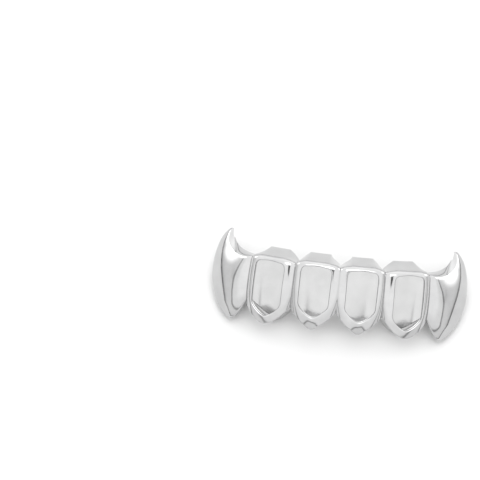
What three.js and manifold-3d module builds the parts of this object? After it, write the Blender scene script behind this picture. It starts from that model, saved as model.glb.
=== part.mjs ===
// Grillz for six front teeth with a fang at each end, cast in one piece and polished.
// Caps are laid out in a tooth frame: x along the row, y to the back of the mouth, z to the biting edge.
// Lengths are in millimetres and arch angles in degrees, 0 at the middle of the row.

import * as THREE from 'three';
import { mergeVertices } from 'three/addons/utils/BufferGeometryUtils.js';
import Module from 'manifold-3d';

// Driving dimensions
const archHalfWidth = 17.1;
const archDepth = 8.8;
const wall = 0.6;
const leanBack = 52.5;

// Front and back skins of a cap, as distances from the arch line
const frontAtGum = 2.5;
const frontAtRidge = 1.95;
const frontBulge = 0.25;
const backAtRidge = 1.9;
const backAtGum = 2.1;
const backBulge = 0.15;
const ridgeRound = 0.7;
const backEdgeRound = 0.25;
const mostRound = 0.45;
const gumTuck = 0.3;
const gumTuckHeight = 2.0;
const leastCavity = 0.3;

// Sides that neighbouring caps share, from the middle of the row out
const middleSide = {
  angle: 0, groove: 0.3, ridge: 8.85, backRidge: 1.9, gum: 2.5, backGum: 1.7, ledgeFall: 0.55,
};
const innerSide = {
  angle: 20.6, groove: 0.45, ridge: 8.75, backRidge: 1.9, gum: 2.4, backGum: 1.7, ledgeFall: 1,
};
const fangSide = {
  angle: 44, groove: 0.6, ridge: 8.65, backRidge: 1.0, gum: 2.15, backGum: 1.7, ledgeFall: 1,
};

// Middle caps of one half row
const middleCaps = {
  inner: {
    near: middleSide, far: innerSide, ridge: 9.2, ledgeRise: 0.65, gum: 0, tongue: 0.3, backGum: -0.4,
    tuck: 0.1, tongueTuck: 0.2,
    windowHalf: 2.17, windowTop: 8.55, windowFoot: 1.55,
  },
  outer: {
    near: innerSide, far: fangSide, ridge: 9.0, ledgeRise: 0.75, gum: -0.45, tongue: 0, backGum: -0.8,
    tuck: 0.1, tongueTuck: 0,
    windowHalf: 2.17, windowTop: 8.35, windowFoot: 0.75,
  },
};

// Grooves between caps, the scallops of the gum line, and the angular ledge on top
const backGrooveDepth = 0.3;
const grooveSharpness = 6.0;
const gumSharpness = 1.7;
const tongueSpread = 0.22;
const ledgeFlat = 0.5;
const ledgeDip = 0.4;

// Window outline: sill height and foot curve as shares of its size, then the top corner and arch
const windowSill = 0.27;
const windowFootCurve = { width: 0.22, cheek: 0.95, cheekHeight: 0.55 };
const windowSillWidth = 0.97;
const windowCorner = 0.9;
const windowArch = 0.3;
const windowReach = 4;

// Fang cap: angles and heights of its outline, and how its edges curve
const fang = {
  gumPoint: 52.5, footCorner: 76.5, widest: 89.4, tip: 70.2,
  gum: -0.85, footHeight: 3.78, widestHeight: 9.2, tipHeight: 11.6,
  frontAtGum: 2.85, edge: 0.6, bulge: 0.7,
};
const fangEdgeHollow = 3.6;
const fangGrooveSharpness = 7.0;
const fangGumSharpness = 1.26;
const fangBackGumCurve = 0.68;
const fangEdgeRound = 2.75;
const fangLedgeNarrowing = 2.6;
const fangFrontRound = 1.0;
const fangMostRound = 0.85;
const fangDome = { foot: 10.8, height: 0.4 };
const fangCurl = { foot: 9.0, strength: 0.1 };
const fangCavity = { cornerInset: 6, footRise: 1, widestInset: 9, tipDrop: 3.2 };

// Mesh density
const middleColumns = 12;
const fangColumns = 14;
const wallRows = 9;
const roundRows = 3;
const ledgeRows = 2;
const windowCurveSteps = 6;

const radians = THREE.MathUtils.degToRad;
const mix = THREE.MathUtils.lerp;

// A place at a distance out from the arch line, which is half an ellipse
function place(angle, out, height) {
  const turn = radians(angle);
  const outward = new THREE.Vector2(archDepth * Math.sin(turn), -archHalfWidth * Math.cos(turn)).normalize();
  return new THREE.Vector3(
    archHalfWidth * Math.sin(turn) + out * outward.x,
    archDepth * (1 - Math.cos(turn)) + out * outward.y,
    height,
  );
}

// A quadratic curve from start to end that bends towards the corner
function bend(start, corner, end, share) {
  return start.map((from, axis) => (
    (1 - share) ** 2 * from + 2 * share * (1 - share) * corner[axis] + share ** 2 * end[axis]
  ));
}

// A middle cap's section at a share across the cap, -1 to 1, with its skin set in by the inset
function middleColumn(cap, across, inset) {
  const side = across < 0 ? cap.near : cap.far;
  const share = Math.abs(across);
  const groove = share ** grooveSharpness;
  const scallop = share ** gumSharpness;
  const angle = mix(cap.near.angle, cap.far.angle, (across + 1) / 2);
  const tongue = Math.exp(-((across / tongueSpread) ** 2));
  const gum = mix(cap.gum, side.gum, scallop) - cap.tongue * tongue;
  const ridge = mix(cap.ridge, side.ridge, groove) - inset;
  const tall = ridge - gum;
  const slope = Math.max(0, (share - ledgeFlat) / (1 - ledgeFlat)) ** side.ledgeFall;
  const front = -side.groove * groove - inset;
  const back = -backGrooveDepth * groove - inset;
  return {
    at: (height) => [angle, mix(gum, ridge, height)],
    tuck: inset > 0 ? 0 : cap.tuck + cap.tongueTuck * tongue,
    backTop: 1 + mix(cap.ledgeRise, -ledgeDip, slope) / tall,
    backFoot: (mix(cap.backGum, side.backGum, scallop) - gum) / tall,
    frontAtGum: frontAtGum + front,
    frontAtRidge: frontAtRidge + front,
    backAtRidge: mix(backAtRidge, side.backRidge, groove) + back,
    backAtGum: backAtGum + back,
    bulge: frontBulge,
    frontRound: ridgeRound,
    mostRound,
    backRound: backEdgeRound,
    tall,
    rise: tall,
    thickness: 1,
    curl: 0,
  };
}

// The gum line of a fang cap: lowest at its gum point, rising to the groove and to the outer side
function fangGum(angle) {
  if (angle < fang.gumPoint) {
    const share = (fang.gumPoint - angle) / (fang.gumPoint - fangSide.angle);
    return mix(fang.gum, fangSide.gum, share ** gumSharpness);
  }
  const share = (angle - fang.gumPoint) / (fang.footCorner - fang.gumPoint);
  return mix(fang.gum, fang.footHeight, share ** fangGumSharpness);
}

// A fang's outline is a patch between four sides: gum line, hollow top edge, groove and rounded outer edge.
// Shares across and up the patch give an arch angle and a height. The cavity has a smaller patch.
// Above the dome's foot the heights are squeezed, which blunts the tip.
function fangPatch(across, up, inset) {
  const cavity = inset > 0 ? fangCavity : { cornerInset: 0, footRise: 0, widestInset: 0, tipDrop: 0 };
  const corner = fang.footCorner - cavity.cornerInset;
  const from = fangSide.angle;
  const side = fangSide.ridge - inset;
  const tip = [fang.tip, fang.tipHeight - cavity.tipDrop];
  const gumSide = (share) => {
    const angle = mix(from, corner, share);
    return [angle, fangGum(angle) + cavity.footRise * share ** 2];
  };
  const topSide = (share) => [mix(from, tip[0], share), mix(side, tip[1], share ** fangEdgeHollow)];
  const grooveSide = (share) => [from, mix(fangSide.gum, side, share)];
  const widest = [fang.widest - cavity.widestInset, fang.widestHeight - cavity.tipDrop];
  const outerSide = (share) => bend(gumSide(1), widest, tip, share);
  const [angle, level] = [0, 1].map((axis) => {
    const upward = mix(gumSide(across)[axis], topSide(across)[axis], up);
    const sideways = mix(grooveSide(up)[axis], outerSide(up)[axis], across);
    const foot = mix(gumSide(0)[axis], gumSide(1)[axis], across);
    const top = mix(topSide(0)[axis], topSide(1)[axis], across);
    return upward + sideways - mix(foot, top, up);
  });
  const dome = fangDome.height * Math.tanh(Math.max(0, level - fangDome.foot) / fangDome.height);
  return [angle, Math.min(level, fangDome.foot) + dome];
}

// A fang's section at a share across it, 0 at the groove and 1 at the outer edge, where both skins meet
function fangColumn(across, inset) {
  const groove = (1 - across) ** fangGrooveSharpness;
  const ledge = (1 - across) ** fangLedgeNarrowing;
  const front = -fangSide.groove * groove - inset;
  const back = -backGrooveDepth * groove - inset;
  const foot = fangPatch(across, 0, inset)[1];
  const top = fangPatch(across, 1, inset)[1];
  const backGum = mix(fangSide.backGum, fangPatch(1, 0, inset)[1], across ** fangBackGumCurve);
  const grooveTall = fangSide.ridge - inset - fangSide.gum;
  const frontEdge = mix(fang.edge - inset, frontAtRidge + front, ledge);
  const backEdge = mix(fang.edge - inset, fangSide.backRidge + back, ledge);
  return {
    at: (height) => fangPatch(across, height, inset),
    tuck: inset > 0 ? 0 : mix(gumTuck, middleCaps.outer.tuck, groove),
    backTop: 1 - (ledgeDip * groove) / grooveTall,
    backFoot: (backGum - foot) / (top - foot),
    frontAtGum: mix(frontAtGum, fang.frontAtGum, across) + front,
    frontAtRidge: frontEdge,
    backAtRidge: Math.max(backEdge, leastCavity - frontEdge),
    backAtGum: backAtGum + back,
    bulge: mix(fang.bulge, frontBulge, groove),
    frontRound: mix(fangFrontRound, ridgeRound, groove),
    mostRound: mix(fangMostRound, mostRound, groove),
    backRound: mix(fangFrontRound, backEdgeRound, groove),
    tall: mix(fang.tipHeight - fang.gum, grooveTall, groove),
    rise: top - foot,
    thickness: Math.sqrt(1 - across ** fangEdgeRound),
    curl: fangCurl.strength,
  };
}

// The points of a section, from the front gum edge over the biting edge to the back gum edge
function sectionPoints(column) {
  const frontWall = (share) => {
    const out = mix(column.frontAtGum, column.frontAtRidge, share);
    const low = Math.max(0, 1 - (share * column.rise) / gumTuckHeight);
    return [out + column.bulge * Math.sin(Math.PI * share) - column.tuck * low ** 2, share];
  };
  const backWall = (share) => {
    const out = mix(column.backAtGum, column.backAtRidge, share);
    return [-out - backBulge * Math.sin(Math.PI * share), mix(column.backFoot, column.backTop, share)];
  };
  const frontRidge = [column.frontAtRidge, 1];
  const backRidge = [-column.backAtRidge, column.backTop];
  const ledge = (share) => [mix(frontRidge[0], backRidge[0], share), mix(1, column.backTop, share)];
  const ledgeWidth = column.frontAtRidge + column.backAtRidge;
  const ledgeStart = Math.min(column.mostRound, column.frontRound / ledgeWidth);
  const ledgeEnd = 1 - Math.min(1 - ledgeStart, column.backRound / ledgeWidth);
  const frontTop = 1 - column.frontRound / column.tall;
  const backTop = 1 - column.backRound / column.tall;
  const points = [];
  for (let row = 0; row < wallRows; row += 1) {
    points.push(frontWall((row / wallRows) * frontTop));
  }
  for (let row = 0; row <= roundRows; row += 1) {
    points.push(bend(frontWall(frontTop), frontRidge, ledge(ledgeStart), row / roundRows));
  }
  for (let row = 1; row < ledgeRows; row += 1) {
    points.push(ledge(mix(ledgeStart, ledgeEnd, row / ledgeRows)));
  }
  for (let row = 0; row <= roundRows; row += 1) {
    points.push(bend(ledge(ledgeEnd), backRidge, backWall(backTop), row / roundRows));
  }
  for (let row = wallRows - 1; row >= 0; row -= 1) {
    points.push(backWall((row / wallRows) * backTop));
  }
  return points.map(([out, height]) => {
    const [angle, level] = column.at(height);
    const curl = column.curl * Math.max(0, level - fangCurl.foot) ** 2;
    return { angle, out: out * column.thickness - curl, level };
  });
}

// All sections of the row, from the left fang's outer edge to the right one's
function skinGrid(inset) {
  const half = [middleColumn(middleCaps.inner, -1, inset)];
  for (const cap of Object.values(middleCaps)) {
    for (let step = 1; step <= middleColumns; step += 1) {
      half.push(middleColumn(cap, -Math.cos((Math.PI * step) / middleColumns), inset));
    }
  }
  for (let step = 1; step <= fangColumns; step += 1) {
    half.push(fangColumn(Math.sin((Math.PI * step) / (2 * fangColumns)), inset));
  }
  const sections = half.map(sectionPoints);
  const onSide = (sign) => (points) => points.map((p) => place(sign * p.angle, p.out, p.level));
  return [...sections.slice(1).reverse().map(onSide(-1)), ...sections.map(onSide(1))];
}

// One closed shell: outer skin, inner skin turned over, and the rim along the gum line
function shellGeometry() {
  const outer = skinGrid(0);
  const inner = skinGrid(wall);
  const columns = outer.length;
  const rows = outer[0].length;
  const index = [];
  const quad = (a, b, c, d) => index.push(a, b, c, a, c, d);
  const out = (column, row) => column * rows + row;
  const into = (column, row) => columns * rows + out(column, row);
  for (let at = 0; at < columns - 1; at += 1) {
    const next = at + 1;
    for (let row = 0; row < rows - 1; row += 1) {
      quad(out(at, row), out(next, row), out(next, row + 1), out(at, row + 1));
      quad(into(at, row), into(at, row + 1), into(next, row + 1), into(next, row));
    }
    const last = rows - 1;
    quad(out(at, 0), into(at, 0), into(next, 0), out(next, 0));
    quad(out(at, last), out(next, last), into(next, last), into(at, last));
  }
  const corners = [...outer.flat(), ...inner.flat()].flatMap((point) => point.toArray());
  const geometry = new THREE.BufferGeometry();
  geometry.setAttribute('position', new THREE.Float32BufferAttribute(corners, 3));
  geometry.setIndex(index);
  return geometry;
}

// A window's outline: arched top with round corners, straight sides and a pointed foot
function windowOutline(cap) {
  const { windowHalf: half, windowTop: top, windowFoot: foot } = cap;
  const sill = mix(foot, top, windowSill);
  const cheek = [half * windowFootCurve.cheek, mix(foot, sill, windowFootCurve.cheekHeight)];
  const footHalf = half * windowFootCurve.width;
  const sillHalf = half * windowSillWidth;
  const topHalf = half - windowCorner;
  const outline = new THREE.Shape();
  outline.moveTo(0, foot);
  outline.bezierCurveTo(footHalf, foot, cheek[0], cheek[1], sillHalf, sill);
  outline.lineTo(half, top - windowCorner);
  outline.quadraticCurveTo(half, top, topHalf, top);
  outline.quadraticCurveTo(0, top + windowArch, -topHalf, top);
  outline.quadraticCurveTo(-half, top, -half, top - windowCorner);
  outline.lineTo(-sillHalf, sill);
  outline.bezierCurveTo(-cheek[0], cheek[1], -footHalf, foot, 0, foot);
  return outline;
}

// A window's cutter, driven from the arch line out through the front wall of a cap on one side
function windowGeometry(cap, sign) {
  const geometry = new THREE.ExtrudeGeometry(
    windowOutline(cap),
    { depth: windowReach, bevelEnabled: false, curveSegments: windowCurveSteps },
  );
  const angle = (sign * (cap.near.angle + cap.far.angle)) / 2;
  const start = place(angle, 0, 0);
  const out = place(angle, 1, 0).sub(start);
  const up = new THREE.Vector3(0, 0, 1);
  const along = new THREE.Vector3().crossVectors(up, out);
  geometry.applyMatrix4(new THREE.Matrix4().makeBasis(along, up, out).setPosition(start));
  return geometry;
}

const wasm = await Module();
wasm.setup();

// A closed solid from a geometry, with shared corners merged and the triangles that shrank to a line dropped
function solidOf(geometry) {
  geometry.deleteAttribute('normal');
  geometry.deleteAttribute('uv');
  const merged = mergeVertices(geometry, 1e-5);
  const corners = merged.index.array;
  const triangles = [];
  for (let at = 0; at < corners.length; at += 3) {
    const [a, b, c] = corners.slice(at, at + 3);
    if (a !== b && b !== c && c !== a) {
      triangles.push(a, b, c);
    }
  }
  return new wasm.Manifold(new wasm.Mesh({
    numProp: 3,
    vertProperties: new Float32Array(merged.attributes.position.array),
    triVerts: new Uint32Array(triangles),
  }));
}

// The casting with its four windows cut through
function castRow() {
  let row = solidOf(shellGeometry());
  for (const cap of Object.values(middleCaps)) {
    for (const sign of [-1, 1]) {
      row = row.subtract(solidOf(windowGeometry(cap, sign)));
    }
  }
  const mesh = row.getMesh();
  const geometry = new THREE.BufferGeometry();
  geometry.setAttribute('position', new THREE.BufferAttribute(mesh.vertProperties, 3));
  geometry.setIndex(new THREE.BufferAttribute(mesh.triVerts, 1));
  geometry.computeVertexNormals();
  return geometry;
}

const polishedSilver = new THREE.MeshStandardMaterial({ color: 0xd8d8da, metalness: 1, roughness: 0.1 });
const grillz = new THREE.Mesh(castRow(), polishedSilver);
grillz.name = 'fang_grillz';

// The row lies leaning back, on the back gum edge of its outer caps and of its fangs
const leaning = new THREE.Group();
leaning.rotation.x = -radians(leanBack);
leaning.add(grillz);
const part = new THREE.Group();
part.add(leaning);
part.updateMatrixWorld(true);
const box = new THREE.Box3().setFromObject(part, true);
leaning.position.set(0, -(box.min.y + box.max.y) / 2, -box.min.z);
part.updateMatrixWorld(true);

export default part;
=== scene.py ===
"""Polished silver fang grillz: a row of six tooth caps with a pointed fang at each end, on a pale floor.

Caps are worked out in a tooth frame in millimetres, x along the row, y to the back of the mouth and z to the
biting edge, and then leaned back onto the floor. Arch angles are in degrees from the middle of the row.
"""
import math

import bpy
import numpy as np
from mathutils import Matrix, Vector


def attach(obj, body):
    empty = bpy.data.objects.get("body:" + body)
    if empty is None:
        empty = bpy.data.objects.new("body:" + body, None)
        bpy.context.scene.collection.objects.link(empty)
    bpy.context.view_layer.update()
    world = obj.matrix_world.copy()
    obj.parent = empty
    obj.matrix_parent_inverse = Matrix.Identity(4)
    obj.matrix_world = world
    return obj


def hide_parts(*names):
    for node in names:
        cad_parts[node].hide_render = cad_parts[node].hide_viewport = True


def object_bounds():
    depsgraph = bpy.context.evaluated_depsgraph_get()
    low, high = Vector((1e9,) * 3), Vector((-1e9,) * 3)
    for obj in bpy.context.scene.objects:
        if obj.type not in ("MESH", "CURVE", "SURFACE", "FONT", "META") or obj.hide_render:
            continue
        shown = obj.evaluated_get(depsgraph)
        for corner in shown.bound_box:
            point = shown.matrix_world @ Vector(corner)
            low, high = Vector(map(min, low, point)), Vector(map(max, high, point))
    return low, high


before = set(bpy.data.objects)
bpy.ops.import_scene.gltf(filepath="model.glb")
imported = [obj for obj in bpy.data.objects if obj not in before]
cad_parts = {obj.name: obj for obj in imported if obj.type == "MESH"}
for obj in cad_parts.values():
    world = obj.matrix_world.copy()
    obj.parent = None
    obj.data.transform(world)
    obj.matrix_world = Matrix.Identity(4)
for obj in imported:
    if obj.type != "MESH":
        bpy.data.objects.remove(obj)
cad_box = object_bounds()

MM = 0.001

# The arch, the cast wall and the lean at rest
ARCH_HALF_WIDTH = 17.1
ARCH_DEPTH = 8.8
WALL = 0.6
LEAN_BACK = math.radians(52.5)

# Front and back skins of a cap, as distances from the arch line
FRONT_AT_GUM = 2.5
FRONT_AT_RIDGE = 1.95
FRONT_BULGE = 0.25
BACK_AT_RIDGE = 1.9
BACK_AT_GUM = 2.1
BACK_BULGE = 0.15
RIDGE_ROUND = 0.7
BACK_EDGE_ROUND = 0.25
MOST_ROUND = 0.45
GUM_EDGE_ROUND = 0.14

# How the front wall tucks in above the gum line, and the facet cut on a tongue
GUM_TUCK = 0.3
GUM_TUCK_HEIGHT = 2.0
FACET_HEIGHT = 1.6
FACET_SPREAD = 0.27
FACET_CURVE = 1.3

# Cavity: how its back wall swells in above a thin gum lip, and closes in at a cap's sides
LEAST_CAVITY = 0.3
CAVITY_TAPER = 1.15
CAVITY_WAIST = 0.9
CAVITY_WAIST_SHARPNESS = 3.2
CAVITY_LIP = 0.04

# Sides that neighbouring caps share, from the middle of the row out
MIDDLE_SIDE = {
    "angle": 0.0, "groove": 0.3, "ridge": 8.85, "back_ridge": 1.9,
    "gum": 2.5, "back_gum": 1.7, "ledge_fall": 0.55,
}
INNER_SIDE = {
    "angle": 20.6, "groove": 0.45, "ridge": 8.75, "back_ridge": 1.9,
    "gum": 2.4, "back_gum": 1.7, "ledge_fall": 1.0,
}
FANG_SIDE = {
    "angle": 44.0, "groove": 0.6, "ridge": 8.65, "back_ridge": 1.0,
    "gum": 2.15, "back_gum": 1.7, "ledge_fall": 1.0,
}

# Middle caps of one half row
INNER_CAP = {
    "near": MIDDLE_SIDE, "far": INNER_SIDE, "ridge": 9.2, "ledge_rise": 0.65,
    "gum": 0.0, "back_gum": -0.4, "tongue": 0.3, "tuck": 0.1, "facet": 0.21,
    "window_half": 2.17, "window_top": 8.55, "window_foot": 1.55,
}
OUTER_CAP = {
    "near": INNER_SIDE, "far": FANG_SIDE, "ridge": 9.0, "ledge_rise": 0.75,
    "gum": -0.45, "back_gum": -0.8, "tongue": 0.0, "tuck": 0.1, "facet": 0.0,
    "window_half": 2.17, "window_top": 8.35, "window_foot": 0.75,
}

# Grooves between caps, the scallops of the gum line, and the angular ledge on top
BACK_GROOVE_DEPTH = 0.3
GROOVE_SHARPNESS = 6.0
GUM_SHARPNESS = 1.7
TONGUE_SPREAD = 0.22
LEDGE_FLAT = 0.5
LEDGE_DIP = 0.4

# Window outline, and the rounds that polishing leaves on its two edges
WINDOW_SILL = 0.27
WINDOW_SILL_WIDTH = 0.97
WINDOW_FOOT_WIDTH = 0.22
WINDOW_CHEEK = 0.95
WINDOW_CHEEK_HEIGHT = 0.55
WINDOW_CORNER = 0.9
WINDOW_ARCH = 0.3
WINDOW_FRONT_ROUND = 0.16
WINDOW_BACK_ROUND = 0.08
WINDOW_BACK_MARGIN = 0.25

# Fang cap: angles and heights of its outline, how its edges curve, and its smaller cavity
FANG = {
    "gum_point": 52.5, "foot_corner": 76.5, "widest": 89.4, "tip": 70.2,
    "gum": -0.85, "foot_height": 3.78, "widest_height": 9.2, "tip_height": 11.6,
    "front_at_gum": 2.85, "edge": 0.6, "bulge": 0.7,
}
FANG_EDGE_HOLLOW = 3.6
FANG_GROOVE_SHARPNESS = 7.0
FANG_GUM_SHARPNESS = 1.26
FANG_BACK_GUM_CURVE = 0.68
FANG_EDGE_ROUND = 2.75
FANG_LEDGE_NARROWING = 2.6
FANG_DOME_FOOT = 10.8
FANG_DOME = 0.4
FANG_CURL = 0.1
FANG_CURL_FOOT = 9.0
FANG_FRONT_ROUND = 1.0
FANG_MOST_ROUND = 0.85
CAVITY_CORNER_INSET = 6.0
CAVITY_FOOT_RISE = 1.0
CAVITY_WIDEST_INSET = 9.0
CAVITY_TIP_DROP = 3.2

# Camera: its direction from the row, the row's place in the picture, and its lens, in millimetres
AZIMUTH = math.radians(6.84)
ELEVATION = math.radians(64.5)
TOWARDS_CAMERA = (
    math.sin(AZIMUTH) * math.cos(ELEVATION), -math.cos(AZIMUTH) * math.cos(ELEVATION), math.sin(ELEVATION),
)
CAMERA_DISTANCE = 300.0
MM_PER_PIXEL = 0.1395
ROW_CENTRE_PIXEL = (338.9, 284.4)
PICTURE_CENTRE = 240.0
PICTURE_WIDTH = 480.0
SENSOR_WIDTH = 36.0
NEAREST_SEEN = 10.0

# Brightness of the studio box by height in degrees, how its back brightens, and the camera's dark spot
STUDIO_WALLS = (
    (-1.0, 0.55), (0.0, 0.12), (1.5, 0.3), (4.0, 0.94), (9.0, 1.08), (16.3, 1.08), (17.4, 0.3), (18.4, 0.3),
    (20.0, 1.22), (27.0, 1.24), (36.0, 1.44),
)
STUDIO_BACK_FROM, STUDIO_BACK_TO, STUDIO_BACK_LEVEL = 0.2, 0.8, 1.15
CAMERA_SPOT, CAMERA_SPOT_EDGE, CAMERA_SPOT_LEVEL = 0.14, 0.182, 0.05

# Soft boxes, in metres and watts, and how strongly the metal mirrors each one's soft-edged front
SOFT_BOXES = (
    {"name": "top_box", "spot": (0.0, -0.08, 0.55), "size": 0.6, "power": 1.7, "shine": 3.0},
    {"name": "left_box", "spot": (-0.5, 0.25, 0.2), "size": 0.48, "power": 0.3, "shine": 2.4},
    {"name": "right_box", "spot": (0.5, 0.25, 0.2), "size": 0.48, "power": 0.3, "shine": 2.4},
)
SHINE_FROM, SHINE_TO = 0.25, 0.75

# Tones of the polished skin and the cast inside by the clouds' level, and their roughness and ripple
POLISHED_TONES = ((0.3, (0.5, 0.5, 0.503)), (0.7, (0.56, 0.56, 0.561)))
CAST_TONES = ((0.3, (0.5, 0.5, 0.5)), (0.7, (0.55, 0.55, 0.55)))
CLOUD_SCALE, CLOUD_DETAIL = 420.0, 3.0
POLISHED_ROUGHNESS, CAST_ROUGHNESS, CLOUD_ROUGHNESS = 0.04, 0.13, 0.08
RIPPLE_SCALE, RIPPLE_DETAIL, RIPPLE_HEIGHT = 700.0, 1.0, 0.00002
POLISHED_RIPPLE, CAST_RIPPLE = 0.25, 0.04

# Table: half its width in metres, and its faintly mottled tone
TABLE_HALF = 0.6
TABLE_TONES = ((0.0, (0.55, 0.55, 0.55)), (1.0, (0.58, 0.58, 0.58)))
TABLE_ROUGHNESS, TABLE_MOTTLE_SCALE = 0.6, 60.0

# Mesh density, the steps of two lookup tables, the gap that patches are welded over, and the crease angle
CAP_STEPS = 48
FANG_STEPS = 52
WALL_ROWS = 40
ROUND_ROWS = 10
LEDGE_ROWS = 8
RIM_ROWS = 8
WINDOW_RINGS = 24
CAVITY_RINGS = 10
WINDOW_EDGE_ROWS = 6
ACROSS_STEPS = 201
CLIMB_STEPS = 121
WELD_GAP = 0.00053
CREASE = math.radians(38)


def mix(start, end, share):
    """Straight blend: start + (end - start) times share."""
    return start + (end - start) * share


def bend(start, corner, end, share):
    """Quadratic bend of two-part points: (1-s)^2 start + 2s(1-s) corner + s^2 end."""
    return tuple(
        (1 - share) ** 2 * a + 2 * share * (1 - share) * b + share ** 2 * c
        for a, b, c in zip(start, corner, end)
    )


def place(angle, out, level):
    """Point of the row: x = a sin(angle), y = b (1 - cos(angle)), moved out along the ellipse's normal."""
    angle, out, level = np.broadcast_arrays(np.radians(angle), out, level)
    along_x = ARCH_DEPTH * np.sin(angle)
    along_y = -ARCH_HALF_WIDTH * np.cos(angle)
    length = np.hypot(along_x, along_y)
    x = ARCH_HALF_WIDTH * np.sin(angle) + out * along_x / length
    y = ARCH_DEPTH * (1 - np.cos(angle)) + out * along_y / length
    return np.stack([x, y, level], axis=-1)


def middle_section(cap, across, inset):
    """Sections of a middle cap at shares across it, -1 to 1, with the skin set in by the inset.

    The groove is |across|^sharpness, and draws both walls in. The gum line is a scallop, |across| to a lower
    power, with a small tongue exp(-(across/spread)^2). The ledge rises in the middle and falls to the sides.
    Inside, the back wall closes in at the sides by waist times |across|^sharpness.
    """
    side = {key: np.where(across < 0, cap["near"][key], cap["far"][key]) for key in cap["near"]}
    share = np.abs(across)
    groove = share ** GROOVE_SHARPNESS
    scallop = share ** GUM_SHARPNESS
    angle = mix(cap["near"]["angle"], cap["far"]["angle"], (across + 1) / 2)
    tongue = np.exp(-((across / TONGUE_SPREAD) ** 2))
    gum = mix(cap["gum"], side["gum"], scallop) - cap["tongue"] * tongue
    ridge = mix(cap["ridge"], side["ridge"], groove) - inset
    tall = ridge - gum
    slope = np.maximum(0, (share - LEDGE_FLAT) / (1 - LEDGE_FLAT)) ** side["ledge_fall"]
    front = -side["groove"] * groove - inset
    if inset > 0:
        waist = CAVITY_WAIST * share ** CAVITY_WAIST_SHARPNESS
        swell = CAVITY_TAPER + waist
        back = -inset
        back_ridge = BACK_AT_RIDGE - waist
    else:
        swell = 0.0
        back = -BACK_GROOVE_DEPTH * groove
        back_ridge = mix(BACK_AT_RIDGE, side["back_ridge"], groove)
    return {
        "at": lambda height: (angle, mix(gum, ridge, height)),
        "tuck": 0.0 if inset > 0 else cap["tuck"],
        "facet": 0.0 if inset > 0 else cap["facet"] * np.exp(-((across / FACET_SPREAD) ** 2)),
        "back_top": 1 + mix(cap["ledge_rise"], -LEDGE_DIP, slope) / tall,
        "back_foot": (mix(cap["back_gum"], side["back_gum"], scallop) - gum) / tall,
        "front_at_gum": FRONT_AT_GUM + front,
        "front_at_ridge": FRONT_AT_RIDGE + front,
        "back_at_ridge": back_ridge + back,
        "back_at_gum": BACK_AT_GUM + back,
        "bulge": FRONT_BULGE,
        "front_round": RIDGE_ROUND,
        "most_round": MOST_ROUND,
        "back_round": BACK_EDGE_ROUND,
        "tall": tall,
        "rise": tall,
        "swell": swell,
        "thickness": 1.0,
        "curl": 0.0,
    }


def fang_gum(angle):
    """Gum line of a fang: a power curve up from its gum point to the groove, another to the outer side."""
    to_groove = np.clip((FANG["gum_point"] - angle) / (FANG["gum_point"] - FANG_SIDE["angle"]), 0, 1)
    to_corner = np.clip((angle - FANG["gum_point"]) / (FANG["foot_corner"] - FANG["gum_point"]), 0, 1)
    return np.where(
        angle < FANG["gum_point"],
        mix(FANG["gum"], FANG_SIDE["gum"], to_groove ** GUM_SHARPNESS),
        mix(FANG["gum"], FANG["foot_height"], to_corner ** FANG_GUM_SHARPNESS),
    )


def fang_patch(across, up, inset):
    """Angle and height of a fang at shares across and up it.

    A patch between four sides, blended both ways less the corners: the gum line, the hollow top edge up to
    the tip, the straight groove, and the outer edge, which is a quadratic bend through the widest place.
    Above the dome's foot the heights are squeezed by tanh, which blunts the tip.
    """
    cavity = 1.0 if inset > 0 else 0.0
    corner = FANG["foot_corner"] - CAVITY_CORNER_INSET * cavity
    widest = (FANG["widest"] - CAVITY_WIDEST_INSET * cavity, FANG["widest_height"] - CAVITY_TIP_DROP * cavity)
    tip = (FANG["tip"], FANG["tip_height"] - CAVITY_TIP_DROP * cavity)
    start = FANG_SIDE["angle"]
    side = FANG_SIDE["ridge"] - inset

    def gum_side(share):
        angle = mix(start, corner, share)
        return angle, fang_gum(angle) + CAVITY_FOOT_RISE * cavity * share ** 2

    def top_side(share):
        return mix(start, tip[0], share), mix(side, tip[1], share ** FANG_EDGE_HOLLOW)

    groove_side = (start, mix(FANG_SIDE["gum"], side, up))
    outer_side = bend(gum_side(1.0), widest, tip, up)
    angle, level = (
        mix(gum_side(across)[axis], top_side(across)[axis], up)
        + mix(groove_side[axis], outer_side[axis], across)
        - mix(
            mix(gum_side(0.0)[axis], gum_side(1.0)[axis], across),
            mix(top_side(0.0)[axis], top_side(1.0)[axis], across),
            up,
        )
        for axis in (0, 1)
    )
    dome = FANG_DOME * np.tanh(np.maximum(0, level - FANG_DOME_FOOT) / FANG_DOME)
    return angle, np.minimum(level, FANG_DOME_FOOT) + dome


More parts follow.
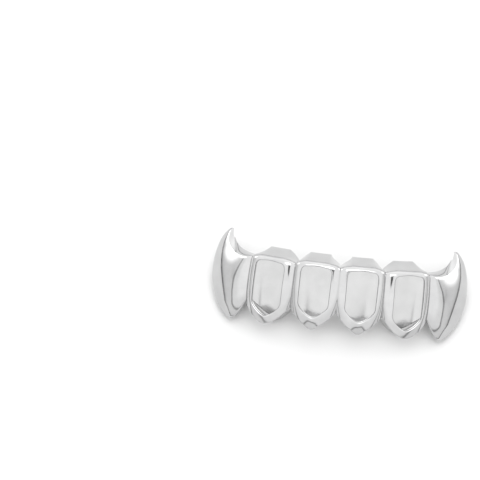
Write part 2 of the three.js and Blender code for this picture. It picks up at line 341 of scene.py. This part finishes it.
def fang_section(across, inset):
    """Sections of a fang at shares across it, 0 at the groove to 1 at its outer edge.

    All distances out shrink by sqrt(1 - across^power), so that front and back meet in a round outer edge.
    """
    groove = (1 - across) ** FANG_GROOVE_SHARPNESS
    ledge = (1 - across) ** FANG_LEDGE_NARROWING
    front = -FANG_SIDE["groove"] * groove - inset
    if inset > 0:
        waist = CAVITY_WAIST * (1 - across) ** CAVITY_WAIST_SHARPNESS
        swell = CAVITY_TAPER + waist
        back = -inset
        back_ridge = BACK_AT_RIDGE - waist
    else:
        swell = 0.0
        back = -BACK_GROOVE_DEPTH * groove
        back_ridge = FANG_SIDE["back_ridge"]
    foot = fang_patch(across, 0.0, inset)[1]
    top = fang_patch(across, 1.0, inset)[1]
    groove_tall = FANG_SIDE["ridge"] - inset - FANG_SIDE["gum"]
    back_gum = mix(FANG_SIDE["back_gum"], fang_patch(1.0, 0.0, inset)[1], across ** FANG_BACK_GUM_CURVE)
    front_at_ridge = mix(FANG["edge"] - inset, FRONT_AT_RIDGE + front, ledge)
    back_at_ridge = mix(FANG["edge"] - inset, back_ridge + back, ledge)
    return {
        "at": lambda height: fang_patch(across, height, inset),
        "tuck": 0.0 if inset > 0 else mix(GUM_TUCK, OUTER_CAP["tuck"], groove),
        "facet": 0.0,
        "back_top": 1 - LEDGE_DIP * groove / groove_tall,
        "back_foot": (back_gum - foot) / (top - foot),
        "front_at_gum": mix(FRONT_AT_GUM, FANG["front_at_gum"], across) + front,
        "front_at_ridge": front_at_ridge,
        "back_at_ridge": np.maximum(back_at_ridge, LEAST_CAVITY - front_at_ridge),
        "back_at_gum": BACK_AT_GUM + back,
        "bulge": mix(FANG["bulge"], FRONT_BULGE, groove),
        "front_round": mix(FANG_FRONT_ROUND, RIDGE_ROUND, groove),
        "most_round": mix(FANG_MOST_ROUND, MOST_ROUND, groove),
        "back_round": mix(FANG_FRONT_ROUND, BACK_EDGE_ROUND, groove),
        "tall": mix(FANG["tip_height"] - FANG["gum"], groove_tall, groove),
        "rise": top - foot,
        "swell": swell,
        "thickness": np.sqrt(1 - across ** FANG_EDGE_ROUND),
        "curl": FANG_CURL,
    }


def round_starts(section):
    """Heights, as shares of the walls, where the front and back walls end and their rounds begin."""
    return 1 - section["front_round"] / section["tall"], 1 - section["back_round"] / section["tall"]


def cap_skin(section, along):
    """Angle, distance out and height along a section curve, by a running share.

    0 to 1 is the front wall, to 2 the rounded biting edge, to 3 the ledge, to 4 the back edge, to 5 the back
    wall. A wall is a straight blend plus bulge times sin(pi share); an edge is a quadratic bend at its ridge.
    The front wall tucks in at the gum by a square of the height still to go, and a facet cuts the tongue by a
    power of it. The cavity's back wall swells in by (1 - share) (1 - exp(-(share/lip)^2)), which leaves a
    thin lip at the gum. A fang curls back by a square of its height above the caps.
    """
    front_top, back_top = round_starts(section)
    front_ridge = (section["front_at_ridge"], 1.0)
    back_ridge = (-section["back_at_ridge"], section["back_top"])
    width = section["front_at_ridge"] + section["back_at_ridge"]
    ledge_start = np.minimum(section["most_round"], section["front_round"] / width)
    ledge_end = 1 - np.minimum(1 - ledge_start, section["back_round"] / width)

    def leg(start):
        return np.clip(along - start, 0, 1)

    def front_wall(share):
        out = mix(section["front_at_gum"], section["front_at_ridge"], share)
        lift = share * section["rise"]
        tuck = section["tuck"] * np.maximum(0, 1 - lift / GUM_TUCK_HEIGHT) ** 2
        facet = section["facet"] * np.maximum(0, 1 - lift / FACET_HEIGHT) ** FACET_CURVE
        return out + section["bulge"] * np.sin(np.pi * share) - tuck - facet, share

    def back_wall(share):
        out = mix(section["back_at_gum"], section["back_at_ridge"], share)
        swell = section["swell"] * (1 - share) * (1 - np.exp(-((share / CAVITY_LIP) ** 2)))
        out = out + BACK_BULGE * np.sin(np.pi * share) - swell
        return -out, mix(section["back_foot"], section["back_top"], share)

    def ledge(share):
        return mix(front_ridge[0], back_ridge[0], share), mix(front_ridge[1], back_ridge[1], share)

    legs = (
        front_wall(leg(0) * front_top),
        bend(front_wall(front_top), front_ridge, ledge(ledge_start), leg(1)),
        ledge(mix(ledge_start, ledge_end, leg(2))),
        bend(ledge(ledge_end), back_ridge, back_wall(back_top), leg(3)),
        back_wall((1 - leg(4)) * back_top),
    )
    which = [along <= 1, along <= 2, along <= 3, along <= 4]
    out, height = (np.select(which, values[:4], values[4]) for values in zip(*legs))
    angle, level = section["at"](height)
    curl = section["curl"] * np.maximum(0, level - FANG_CURL_FOOT) ** 2
    return angle, out * section["thickness"] - curl, level


def gum_starts(section, lift):
    """Running shares at a height above the front gum edge and above the back one."""
    front_top, back_top = round_starts(section)
    back_rise = (section["back_top"] - section["back_foot"]) * section["rise"] * back_top
    return lift / (section["rise"] * front_top), 5 - lift / back_rise


def skin_rows(section, first, last):
    """Running shares of the rows from one leg's start to another's end, clear of the rounded gum edges."""
    front, back = gum_starts(section, GUM_EDGE_ROUND)
    counts = (WALL_ROWS, ROUND_ROWS, LEDGE_ROWS, ROUND_ROWS, WALL_ROWS)
    ends = (front, 1.0, 2.0, 3.0, 4.0, back)
    rows = [
        mix(ends[leg], ends[leg + 1], np.arange(counts[leg]) / counts[leg])
        for leg in range(first, last)
    ]
    columns = np.shape(section["rise"])[0]
    rows = [np.broadcast_to(row, (columns, row.shape[-1])) for row in rows]
    return np.concatenate(rows + [np.broadcast_to(ends[last], (columns, 1))], axis=1)


def gum_rims(outer, inner):
    """Round gum edges, front and back: half an ellipse from the outer skin over to the inner one.

    Each comes with its share of the way inside.
    """
    turn = np.linspace(0, np.pi, RIM_ROWS + 1)
    share = (1 - np.cos(turn)) / 2
    lift = GUM_EDGE_ROUND * (1 - np.sin(turn))
    rims = []
    for which in (0, 1):
        skins = [place(*cap_skin(section, gum_starts(section, lift)[which])) for section in (outer, inner)]
        rims.append((mix(skins[0], skins[1], share[None, :, None]), share))
    return rims


def window_outline(cap, away):
    """Loop round a window, moved away from its edge by a distance: foot, right side, top and left side.

    The foot is a cubic bend from its point out to the sill, mirrored; the sides are straight; the top has
    quadratic corners and a shallow arch. Moving away follows the loop's own normal.
    """
    half, top, foot = cap["window_half"], cap["window_top"], cap["window_foot"]
    sill = mix(foot, top, WINDOW_SILL)
    sill_half = half * WINDOW_SILL_WIDTH
    top_half = half - WINDOW_CORNER
    q = np.linspace(-1, 1, CAP_STEPS, endpoint=False)
    s = np.abs(q)
    weights = (3 * s * (1 - s) ** 2, 3 * s ** 2 * (1 - s), s ** 3)
    foot_w = weights[0] * WINDOW_FOOT_WIDTH + weights[1] * WINDOW_CHEEK + weights[2] * WINDOW_SILL_WIDTH
    foot_z = foot + (sill - foot) * (weights[1] * WINDOW_CHEEK_HEIGHT + weights[2])
    side = np.linspace(0, 1, WALL_ROWS + ROUND_ROWS + 1)
    side_w, side_z = mix(sill_half, half, side), mix(sill, top - WINDOW_CORNER, side)
    arch = np.clip(2 * q, -1, 1)
    corner = np.clip(2 * s - 1, 0, 1)
    corner_w, corner_z = bend((top_half, top), (half, top), (half, top - WINDOW_CORNER), corner)
    top_w = np.where(s < 0.5, top_half * arch, np.sign(q) * corner_w)
    top_z = np.where(s < 0.5, top + WINDOW_ARCH * (1 - arch ** 2) / 2, corner_z)
    w = np.concatenate([np.sign(q) * half * foot_w, side_w[:-1], -top_w, -side_w[:0:-1]])
    z = np.concatenate([foot_z, side_z[:-1], top_z, side_z[:0:-1]])
    run_w, run_z = (np.roll(v, -1) - np.roll(v, 1) for v in (w, z))
    length = np.hypot(run_w, run_z)
    return w + away * run_z / length, z - away * run_w / length


def window_on_skin(cap, inset, w, z):
    """Shares across and running shares up a skin of the places w along and z up, read off tables of both."""
    middle = (cap["near"]["angle"] + cap["far"]["angle"]) / 2
    start = place(middle, 0.0, 0.0)
    outward = place(middle, 1.0, 0.0) - start
    tangent = np.array([-outward[1], outward[0], 0.0])
    table = np.linspace(-1, 1, ACROSS_STEPS)
    spots = place(*cap_skin(middle_section(cap, table, inset), np.full_like(table, 0.5)))
    across = np.interp(w, (spots - start) @ tangent, table)
    section = middle_section(cap, across[..., None], inset)
    climb = np.linspace(0, 2, CLIMB_STEPS)
    levels = np.broadcast_to(cap_skin(section, climb)[2], (*across.shape, climb.size))
    z = np.minimum(z, levels[..., -1] - (WINDOW_BACK_MARGIN if inset > 0 else 0.0))
    below = np.clip((levels <= z[..., None]).sum(axis=-1) - 1, 0, climb.size - 2)
    low, high = (np.take_along_axis(levels, (below + step)[..., None], -1)[..., 0] for step in (0, 1))
    return across, climb[below] + (z - low) / (high - low) * (climb[1] - climb[0])


def window_wall(cap):
    """Front wall of a middle cap with its window, as rings that run from the cap's sides to the window.

    Rings on the outer skin blend the cap's border into the window's loop. The window's edge then turns in by
    quarter rounds, depth r (1 - cos a) at r (1 - sin a) from the loop, and rings go back out on the cavity.
    """
    sides = np.sin(np.pi / 2 * np.linspace(-1, 1, CAP_STEPS + 1))
    turn = np.linspace(0, np.pi / 2, WINDOW_EDGE_ROWS)
    depth = np.concatenate([
        WINDOW_FRONT_ROUND * (1 - np.cos(turn)), WALL - WINDOW_BACK_ROUND * (1 - np.cos(turn[::-1])),
    ])[:, None]
    away = np.concatenate([
        WINDOW_FRONT_ROUND * (1 - np.sin(turn)), WINDOW_BACK_ROUND * (1 - np.sin(turn[::-1])),
    ])[:, None]
    skins = []
    edges = []
    for inset, rings, edge in ((0.0, WINDOW_RINGS, 0), (WALL, CAVITY_RINGS, -1)):
        borders = middle_section(cap, np.array([-1.0, 1.0])[:, None], inset)
        left, right = skin_rows(borders, 0, 2)
        gum = gum_starts(middle_section(cap, sides, inset), GUM_EDGE_ROUND)[0]
        ones = np.ones_like(right[:-1])
        border_across = np.concatenate([sides[:-1], ones, sides[:0:-1], -ones])
        border_along = np.concatenate([gum[:-1], right[:-1], np.full(CAP_STEPS, 2.0), left[:0:-1]])
        across, along = window_on_skin(cap, inset, *window_outline(cap, away))
        edges.append(place(*cap_skin(middle_section(cap, across, inset), along)))
        share = np.linspace(0, 1, rings, endpoint=False)[:, None]
        ring_across = mix(border_across, across[edge], share)
        ring_along = mix(border_along, along[edge], share)
        skins.append(place(*cap_skin(middle_section(cap, ring_across, inset), ring_along)))
    rim = mix(edges[0], edges[1], (depth / WALL)[..., None])
    inside = np.concatenate([np.zeros((WINDOW_RINGS + len(depth), 1)), np.ones((CAVITY_RINGS, 1))])
    return np.concatenate([skins[0], rim, skins[1][::-1]]), inside


def patch(grid, inside, loop=False, flip=False):
    """Points, shares inside and triangles of a grid of points, closed along its second way for a loop."""
    rows, columns = grid.shape[:2]
    numbers = np.arange(rows * columns).reshape(rows, columns)
    if loop:
        numbers = np.concatenate([numbers, numbers[:, :1]], axis=1)
    a, b, c, d = numbers[:-1, :-1], numbers[1:, :-1], numbers[1:, 1:], numbers[:-1, 1:]
    halves = [np.stack(corners, axis=-1).reshape(-1, 3) for corners in ((a, b, c), (a, c, d))]
    triangles = np.concatenate(halves)
    inside = np.broadcast_to(inside, (rows, columns))
    return grid.reshape(-1, 3), inside.reshape(-1), triangles[:, ::-1] if flip else triangles


def half_row():
    """Patches of the right half of the row: two middle caps and a fang, with skin, cavity and gum edges."""
    across = np.sin(np.pi / 2 * np.linspace(-1, 1, CAP_STEPS + 1))[:, None]
    patches = []
    for cap in (INNER_CAP, OUTER_CAP):
        outer, inner = (middle_section(cap, across, inset) for inset in (0.0, WALL))
        front_rim, back_rim = gum_rims(outer, inner)
        patches += [
            patch(*window_wall(cap), loop=True, flip=True),
            patch(place(*cap_skin(outer, skin_rows(outer, 2, 5))), 0.0),
            patch(place(*cap_skin(inner, skin_rows(inner, 2, 5))), 1.0, flip=True),
            patch(*front_rim, flip=True),
            patch(*back_rim),
        ]
    across = np.sin(np.pi / 2 * np.linspace(0, 1, FANG_STEPS + 1))[:, None]
    outer, inner = (fang_section(across, inset) for inset in (0.0, WALL))
    front_rim, back_rim = gum_rims(outer, inner)
    patches += [
        patch(place(*cap_skin(outer, skin_rows(outer, 0, 5))), 0.0),
        patch(place(*cap_skin(inner, skin_rows(inner, 0, 5))), 1.0, flip=True),
        patch(*front_rim, flip=True),
        patch(*back_rim),
    ]
    return patches


def whole_row():
    """Points, triangles and shares inside: the right half and its mirror image, welded where patches meet."""
    mirror = np.array([-1.0, 1.0, 1.0])
    patches = half_row()
    patches += [(points * mirror, inside, triangles[:, ::-1]) for points, inside, triangles in patches]
    all_points, all_inside, all_triangles = zip(*patches)
    starts = np.cumsum([0] + [len(points) for points in all_points])
    points, inside = np.concatenate(all_points), np.concatenate(all_inside)
    triangles = np.concatenate([triangles + start for triangles, start in zip(all_triangles, starts)])
    spots = np.round(points / WELD_GAP).astype(np.int64)
    _, first, same = np.unique(spots, axis=0, return_index=True, return_inverse=True)
    triangles = same.reshape(-1)[triangles]
    a, b, c = triangles.T
    return lean_onto_floor(points[first]), triangles[(a != b) & (b != c) & (c != a)], inside[first]


def lean_onto_floor(points):
    """Points turned back about x by the lean, the lowest on the floor and the depth centred, in metres."""
    x, y, z = points.T
    back = y * math.cos(LEAN_BACK) + z * math.sin(LEAN_BACK)
    up = z * math.cos(LEAN_BACK) - y * math.sin(LEAN_BACK)
    return np.stack([x, back - (back.min() + back.max()) / 2, up - up.min()], axis=-1) * MM


def mesh_object(name, points, triangles):
    """Smooth mesh object at the origin from arrays of points and triangles, sharp only at real creases."""
    mesh = bpy.data.meshes.new(name)
    mesh.vertices.add(len(points))
    mesh.vertices.foreach_set("co", points.astype(np.float32).ravel())
    mesh.loops.add(triangles.size)
    mesh.loops.foreach_set("vertex_index", triangles.astype(np.int32).ravel())
    mesh.polygons.add(len(triangles))
    mesh.polygons.foreach_set("loop_start", np.arange(0, triangles.size, 3, dtype=np.int32))
    mesh.update(calc_edges=True)
    mesh.validate()
    mesh.shade_smooth()
    mesh.set_sharp_from_angle(angle=CREASE)
    thing = bpy.data.objects.new(name, mesh)
    bpy.context.scene.collection.objects.link(thing)
    return thing


def node_material(name):
    """New node material, its nodes and links, and its surface shader."""
    material = bpy.data.materials.new(name)
    material.use_nodes = True
    nodes = material.node_tree.nodes
    return material, nodes, material.node_tree.links, nodes["Principled BSDF"]


def tone_ramp(nodes, stops):
    """Colour ramp through stops, each a position and a colour, with straight blends between them."""
    ramp = nodes.new("ShaderNodeValToRGB")
    elements = ramp.color_ramp.elements
    while len(elements) < len(stops):
        elements.new(0.5)
    for element, (position, colour) in zip(elements, stops):
        element.position = position
        element.color = (*colour, 1)
    return ramp


def polished_silver():
    """Mirror-polished cast silver with clouds in its tone and gloss, and a slight polishing ripple.

    The cast inside is less glossy and its ripple calmer. Roughness is the place's own plus a share of the
    cloud's level.
    """
    material, nodes, links, shader = node_material("polished_silver")
    shader.inputs["Metallic"].default_value = 1.0
    place_on_metal = nodes.new("ShaderNodeTexCoord")
    cloud = nodes.new("ShaderNodeTexNoise")
    cloud.inputs["Scale"].default_value = CLOUD_SCALE
    cloud.inputs["Detail"].default_value = CLOUD_DETAIL
    tone = tone_ramp(nodes, POLISHED_TONES)
    cast_tone = tone_ramp(nodes, CAST_TONES)
    inside = nodes.new("ShaderNodeAttribute")
    inside.attribute_name = "inside"
    colour = nodes.new("ShaderNodeMix")
    colour.data_type = "RGBA"
    satin = nodes.new("ShaderNodeMapRange")
    satin.inputs["To Min"].default_value = POLISHED_ROUGHNESS
    satin.inputs["To Max"].default_value = CAST_ROUGHNESS
    gloss = nodes.new("ShaderNodeMath")
    gloss.operation = "MULTIPLY_ADD"
    gloss.inputs[1].default_value = CLOUD_ROUGHNESS
    ripple = nodes.new("ShaderNodeTexNoise")
    ripple.inputs["Scale"].default_value = RIPPLE_SCALE
    ripple.inputs["Detail"].default_value = RIPPLE_DETAIL
    calm = nodes.new("ShaderNodeMapRange")
    calm.inputs["To Min"].default_value = POLISHED_RIPPLE
    calm.inputs["To Max"].default_value = CAST_RIPPLE
    bump = nodes.new("ShaderNodeBump")
    bump.inputs["Distance"].default_value = RIPPLE_HEIGHT
    links.new(place_on_metal.outputs["Object"], cloud.inputs["Vector"])
    links.new(place_on_metal.outputs["Object"], ripple.inputs["Vector"])
    links.new(cloud.outputs["Fac"], tone.inputs["Fac"])
    links.new(cloud.outputs["Fac"], cast_tone.inputs["Fac"])
    links.new(inside.outputs["Fac"], colour.inputs["Factor"])
    links.new(tone.outputs["Color"], colour.inputs["A"])
    links.new(cast_tone.outputs["Color"], colour.inputs["B"])
    links.new(colour.outputs["Result"], shader.inputs["Base Color"])
    links.new(inside.outputs["Fac"], satin.inputs["Value"])
    links.new(cloud.outputs["Fac"], gloss.inputs[0])
    links.new(satin.outputs["Result"], gloss.inputs[2])
    links.new(gloss.outputs["Value"], shader.inputs["Roughness"])
    links.new(inside.outputs["Fac"], calm.inputs["Value"])
    links.new(calm.outputs["Result"], bump.inputs["Strength"])
    links.new(ripple.outputs["Fac"], bump.inputs["Height"])
    links.new(bump.outputs["Normal"], shader.inputs["Normal"])
    return material


def table_white():
    """Smooth white table top with a barely seen mottle."""
    material, nodes, links, shader = node_material("table_white")
    shader.inputs["Roughness"].default_value = TABLE_ROUGHNESS
    place_on_table = nodes.new("ShaderNodeTexCoord")
    mottle = nodes.new("ShaderNodeTexNoise")
    mottle.inputs["Scale"].default_value = TABLE_MOTTLE_SCALE
    tone = tone_ramp(nodes, TABLE_TONES)
    links.new(place_on_table.outputs["Object"], mottle.inputs["Vector"])
    links.new(mottle.outputs["Fac"], tone.inputs["Fac"])
    links.new(tone.outputs["Color"], shader.inputs["Base Color"])
    return material


def soft_light(box):
    """Lamp of a square soft box, turned to face the row. The studio box shows its front to the metal."""
    lamp = bpy.data.lights.new(box["name"], "AREA")
    lamp.size = box["size"]
    lamp.energy = box["power"]
    thing = bpy.data.objects.new(box["name"], lamp)
    thing.location = box["spot"]
    thing.rotation_euler = (-Vector(box["spot"])).to_track_quat("-Z", "Y").to_euler()
    thing.visible_glossy = False
    bpy.context.scene.collection.objects.link(thing)


def round_spot(nodes, links, direction, centre, reach, levels, blend):
    """Level by distance from a direction: the first up to the near reach, the second from the far one on."""
    around = nodes.new("ShaderNodeVectorMath")
    around.operation = "DISTANCE"
    around.inputs[1].default_value = centre
    spot = nodes.new("ShaderNodeMapRange")
    spot.interpolation_type = blend
    for socket, value in zip(("From Min", "From Max", "To Min", "To Max"), (*reach, *levels)):
        spot.inputs[socket].default_value = value
    links.new(direction.outputs["Generated"], around.inputs[0])
    links.new(around.outputs["Value"], spot.inputs["Value"])
    return spot.outputs["Result"]


def studio_box():
    """White box that the metal mirrors, by height: dark floor seam, pale wall, dark rim, bright ceiling.

    It is brighter at the back and has a dark round spot where the camera looks in. The soft boxes' fronts
    are added as round spots that fade smoothly out over their edges.
    """
    world = bpy.data.worlds.new("studio_box")
    world.use_nodes = True
    nodes, links = world.node_tree.nodes, world.node_tree.links
    background = nodes["Background"]
    direction = nodes.new("ShaderNodeTexCoord")
    parts = nodes.new("ShaderNodeSeparateXYZ")
    height = nodes.new("ShaderNodeMapRange")
    height.inputs["From Min"].default_value = -1.0
    walls = tone_ramp(nodes, [
        ((1 + math.sin(math.radians(degrees))) / 2, (level, level, level)) for degrees, level in STUDIO_WALLS
    ])
    links.new(direction.outputs["Generated"], parts.inputs["Vector"])
    links.new(parts.outputs["Z"], height.inputs["Value"])
    links.new(height.outputs["Result"], walls.inputs["Fac"])
    camera_spot = round_spot(
        nodes, links, direction, TOWARDS_CAMERA,
        (CAMERA_SPOT, CAMERA_SPOT_EDGE), (CAMERA_SPOT_LEVEL, 1.0), "LINEAR",
    )
    behind = nodes.new("ShaderNodeMapRange")
    behind.interpolation_type = "SMOOTHSTEP"
    behind.inputs["From Min"].default_value = STUDIO_BACK_FROM
    behind.inputs["From Max"].default_value = STUDIO_BACK_TO
    behind.inputs["To Min"].default_value = 1.0
    behind.inputs["To Max"].default_value = STUDIO_BACK_LEVEL
    level = nodes.new("ShaderNodeMath")
    level.operation = "MULTIPLY"
    links.new(parts.outputs["Y"], behind.inputs["Value"])
    links.new(behind.outputs["Result"], level.inputs[0])
    links.new(camera_spot, level.inputs[1])
    links.new(walls.outputs["Color"], background.inputs["Color"])
    links.new(level.outputs["Value"], background.inputs["Strength"])
    surface = background.outputs[0]
    for box in SOFT_BOXES:
        reach = box["size"] / 2 / Vector(box["spot"]).length
        shine = round_spot(
            nodes, links, direction, Vector(box["spot"]).normalized(),
            (SHINE_FROM * reach, SHINE_TO * reach), (box["shine"], 0.0), "SMOOTHSTEP",
        )
        front = nodes.new("ShaderNodeBackground")
        both = nodes.new("ShaderNodeAddShader")
        links.new(shine, front.inputs["Strength"])
        links.new(surface, both.inputs[0])
        links.new(front.outputs[0], both.inputs[1])
        surface = both.outputs[0]
    links.new(surface, nodes["World Output"].inputs["Surface"])
    return world


# The casting
row_points, row_triangles, row_inside = whole_row()
grillz = mesh_object("fang_grillz_polished", row_points, row_triangles)
share_inside = grillz.data.attributes.new("inside", "FLOAT", "POINT")
share_inside.data.foreach_set("value", row_inside.astype(np.float32))
grillz.data.materials.append(polished_silver())
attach(grillz, "root")
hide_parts("fang_grillz")

# The table
table = mesh_object(
    "table",
    TABLE_HALF * np.array([[-1.0, -1.0, 0.0], [1.0, -1.0, 0.0], [1.0, 1.0, 0.0], [-1.0, 1.0, 0.0]]),
    np.array([[0, 1, 2], [0, 2, 3]]),
)
table.data.materials.append(table_white())

# The camera looks down at the front of the row, which lies right of the picture's centre and below it
towards = Vector(TOWARDS_CAMERA)
right = Vector((math.cos(AZIMUTH), math.sin(AZIMUTH), 0))
up = towards.cross(right)
row_centre = (Vector(cad_box[0]) + Vector(cad_box[1])) / 2
aside = (ROW_CENTRE_PIXEL[0] - PICTURE_CENTRE) * MM_PER_PIXEL
below = (ROW_CENTRE_PIXEL[1] - PICTURE_CENTRE) * MM_PER_PIXEL
lens = bpy.data.cameras.new("camera")
lens.sensor_width = SENSOR_WIDTH
lens.lens = SENSOR_WIDTH * CAMERA_DISTANCE / (MM_PER_PIXEL * PICTURE_WIDTH)
lens.clip_start = NEAREST_SEEN * MM
camera = bpy.data.objects.new("camera", lens)
camera.matrix_world = Matrix((
    (right.x, up.x, towards.x, 0), (right.y, up.y, towards.y, 0), (right.z, up.z, towards.z, 0), (0, 0, 0, 1),
))
camera.location = row_centre + (towards * CAMERA_DISTANCE - right * aside + up * below) * MM
bpy.context.scene.collection.objects.link(camera)
bpy.context.scene.camera = camera

# Soft studio light: a white box round the table, one soft box overhead and two at the back
bpy.context.scene.world = studio_box()
bpy.context.scene.view_settings.view_transform = "Standard"
for box in SOFT_BOXES:
    soft_light(box)
